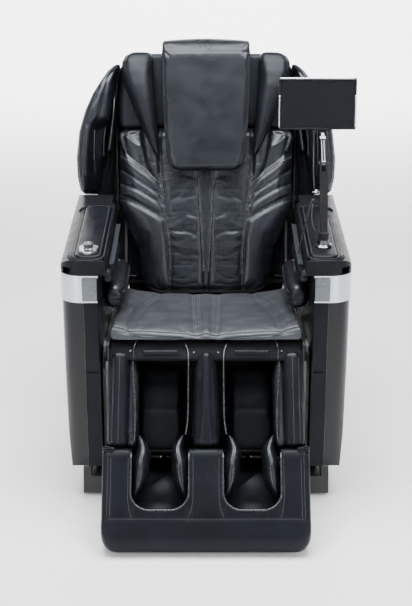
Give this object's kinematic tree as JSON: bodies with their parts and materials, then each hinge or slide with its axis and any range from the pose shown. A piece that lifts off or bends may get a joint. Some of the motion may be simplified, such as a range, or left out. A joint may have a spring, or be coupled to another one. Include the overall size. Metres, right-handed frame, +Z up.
{
  "type": "massage chair",
  "caption": "Reclining massage chair with padded arm pods, travelling back massage robot, lifting leg rest, extending foot wells and a tablet on a jointed stand",
  "frame": {"origin": "on the floor, under the middle of the chair's box", "axes": "+Z up, the chair faces -Y, +X is the sitter's left"},
  "size_m": [0.8345, 1.2126, 1.2595],
  "materials": {
    "frame_steel": "black powder coat on welded tube",
    "bright_steel": "zinc-plated steel",
    "silver_trim": "silver-lacquered moulding",
    "gloss_black": "high-gloss black moulding",
    "matt_black": "fine-textured black moulding",
    "zinc_box": "galvanised sheet",
    "rubber": "moulded rubber",
    "roller_plastic": "turned polyoxymethylene",
    "upholstery": "black coated leather over foam and airbags",
    "screen_glass": "dark display glass",
    "cable_jacket": "dark grey flexible jacket"
  },
  "bodies": {
    "base": {"base_frame": "frame_steel", "base_shoes": "matt_black", "rubber_feet": "rubber", "power_inlet": "matt_black", "air_pump": "matt_black", "control_box": "zinc_box"},
    "rear_wheels": {"transport_wheels": "rubber"},
    "switch": {"power_switch": "matt_black"},
    "carriage": {"carriage_frame": "frame_steel", "pivot_shaft": "frame_steel", "side_panel_left": "gloss_black", "side_panel_right": "gloss_black", "side_band_left": "silver_trim", "side_band_right": "silver_trim", "front_fascia": "matt_black", "armrest_rim_left": "gloss_black", "armrest_rim_right": "gloss_black", "armrest_pad_left": "upholstery", "armrest_pad_right": "upholstery", "arm_airbags": "upholstery", "control_bezel": "silver_trim", "mast_socket": "bright_steel", "seat_frame": "frame_steel", "seat_cushion": "upholstery", "recline_actuator": "matt_black", "leg_actuator": "matt_black", "cable_lower": "cable_jacket"},
    "knob": {"control_knob": "gloss_black"},
    "button": {"control_button": "gloss_black"},
    "recline_rod": {"recline_rod": "bright_steel"},
    "leg_rod": {"leg_rod": "bright_steel"},
    "back": {"back_frame": "frame_steel", "guide_rails": "bright_steel", "back_shell": "gloss_black", "back_cushion": "upholstery", "head_cushion": "upholstery", "wing_left": "upholstery", "wing_right": "upholstery", "wing_airbags": "upholstery"},
    "robot": {"massage_carriage": "frame_steel"},
    "massage_arm_l": {"massage_arm_left": "bright_steel"},
    "massage_arm_r": {"massage_arm_right": "bright_steel"},
    "roller_ul": {"roller_upper_left": "roller_plastic"},
    "roller_ur": {"roller_upper_right": "roller_plastic"},
    "roller_ll": {"roller_lower_left": "roller_plastic"},
    "roller_lr": {"roller_lower_right": "roller_plastic"},
    "pillow": {"head_pillow": "upholstery"},
    "leg_rest": {"leg_frame": "frame_steel", "calf_housing": "matt_black", "calf_airbags": "upholstery"},
    "foot_rest": {"foot_tubes": "bright_steel", "foot_housing": "upholstery", "foot_airbags": "upholstery"},
    "sole_rollers": {"foot_rollers": "roller_plastic"},
    "lower_arm": {"tablet_arm_lower": "matt_black", "cable_loop": "cable_jacket"},
    "upper_arm": {"tablet_arm_upper": "bright_steel", "cable_upper": "cable_jacket"},
    "screen": {"tablet": "gloss_black", "tablet_screen": "screen_glass"}
  },
  "joints": [
    {"name": "carriage_slide", "type": "slide", "parent": "base", "child": "carriage", "axis": [0, -1, 0], "range_m": [0, 0.12]},
    {"name": "back_recline", "type": "hinge", "parent": "carriage", "child": "back", "pos_m": [0, 0.235, 0.44], "axis": [-1, 0, 0], "range_deg": [0, 45]},
    {"name": "recline_rod_slide", "type": "slide", "parent": "carriage", "child": "recline_rod", "axis": [0, -1, 0], "range_m": [0, 0.068]},
    {"name": "leg_lift", "type": "hinge", "parent": "carriage", "child": "leg_rest", "pos_m": [0, -0.256, 0.474], "axis": [-1, 0, 0], "range_deg": [0, 50]},
    {"name": "leg_rod_slide", "type": "slide", "parent": "carriage", "child": "leg_rod", "axis": [0, -1, 0], "range_m": [0, 0.1193]},
    {"name": "foot_extend", "type": "slide", "parent": "leg_rest", "child": "foot_rest", "axis": [0, -0.6018, -0.7986], "range_m": [0, 0.12]},
    {"name": "sole_roller_turn", "type": "hinge", "parent": "foot_rest", "child": "sole_rollers", "pos_m": [0, -0.53392, 0.06863], "axis": [1, 0, 0], "continuous": true},
    {"name": "robot_travel", "type": "slide", "parent": "back", "child": "robot", "axis": [0, 0.309, 0.9511], "range_m": [-0.15, 0.27]},
    {"name": "knead_left", "type": "hinge", "parent": "robot", "child": "massage_arm_l", "pos_m": [0, 0.38429, 0.77002], "axis": [1, 0, 0], "range_deg": [-8, 8]},
    {"name": "roller_turn_upper_left", "type": "hinge", "parent": "massage_arm_l", "child": "roller_ul", "pos_m": [0, 0.39203, 0.83269], "axis": [1, 0, 0], "continuous": true},
    {"name": "roller_turn_lower_left", "type": "hinge", "parent": "massage_arm_l", "child": "roller_ll", "pos_m": [0, 0.34877, 0.69955], "axis": [1, 0, 0], "continuous": true},
    {"name": "knead_right", "type": "hinge", "parent": "robot", "child": "massage_arm_r", "pos_m": [0, 0.38429, 0.77002], "axis": [1, 0, 0], "range_deg": [-8, 8]},
    {"name": "roller_turn_upper_right", "type": "hinge", "parent": "massage_arm_r", "child": "roller_ur", "pos_m": [0, 0.39203, 0.83269], "axis": [1, 0, 0], "continuous": true},
    {"name": "roller_turn_lower_right", "type": "hinge", "parent": "massage_arm_r", "child": "roller_lr", "pos_m": [0, 0.34877, 0.69955], "axis": [1, 0, 0], "continuous": true},
    {"name": "pillow_flip", "type": "hinge", "parent": "back", "child": "pillow", "pos_m": [0, 0.46341, 1.22063], "axis": [-1, 0, 0], "range_deg": [0, 110]},
    {"name": "knob_turn", "type": "hinge", "parent": "carriage", "child": "knob", "pos_m": [-0.33, -0.19742, 0.74305], "axis": [0, -0.1231, 0.9924], "range_deg": [-150, 150]},
    {"name": "button_press", "type": "slide", "parent": "carriage", "child": "button", "axis": [0, 0.1231, -0.9924], "range_m": [0, 0.0008], "stiffness_N_per_m": 600},
    {"name": "mast_swivel", "type": "hinge", "parent": "carriage", "child": "lower_arm", "pos_m": [0.332, -0.17361, 0.74601], "axis": [0, -0.1231, 0.9924], "range_deg": [-45, 60]},
    {"name": "elbow_fold", "type": "hinge", "parent": "lower_arm", "child": "upper_arm", "pos_m": [0.332, -0.10429, 0.96913], "axis": [1, 0, 0], "range_deg": [-40, 30]},
    {"name": "tablet_tilt", "type": "hinge", "parent": "upper_arm", "child": "screen", "pos_m": [0.332, -0.04958, 1.03932], "axis": [1, 0, 0], "range_deg": [-25, 25]},
    {"name": "wheel_turn", "type": "hinge", "parent": "base", "child": "rear_wheels", "pos_m": [0, 0.342, 0.042], "axis": [1, 0, 0], "continuous": true},
    {"name": "switch_rock", "type": "hinge", "parent": "base", "child": "switch", "pos_m": [0.178, 0.311, 0.049], "axis": [1, 0, 0], "range_deg": [-8, 8]}
  ],
  "couplings": [
    {"joint": "carriage_slide", "follows": "back_recline", "m_per_rad": 0.15279},
    {"joint": "recline_rod_slide", "follows": "back_recline", "m_per_rad": 0.08658},
    {"joint": "leg_rod_slide", "follows": "leg_lift", "m_per_rad": 0.13671}
  ]
}
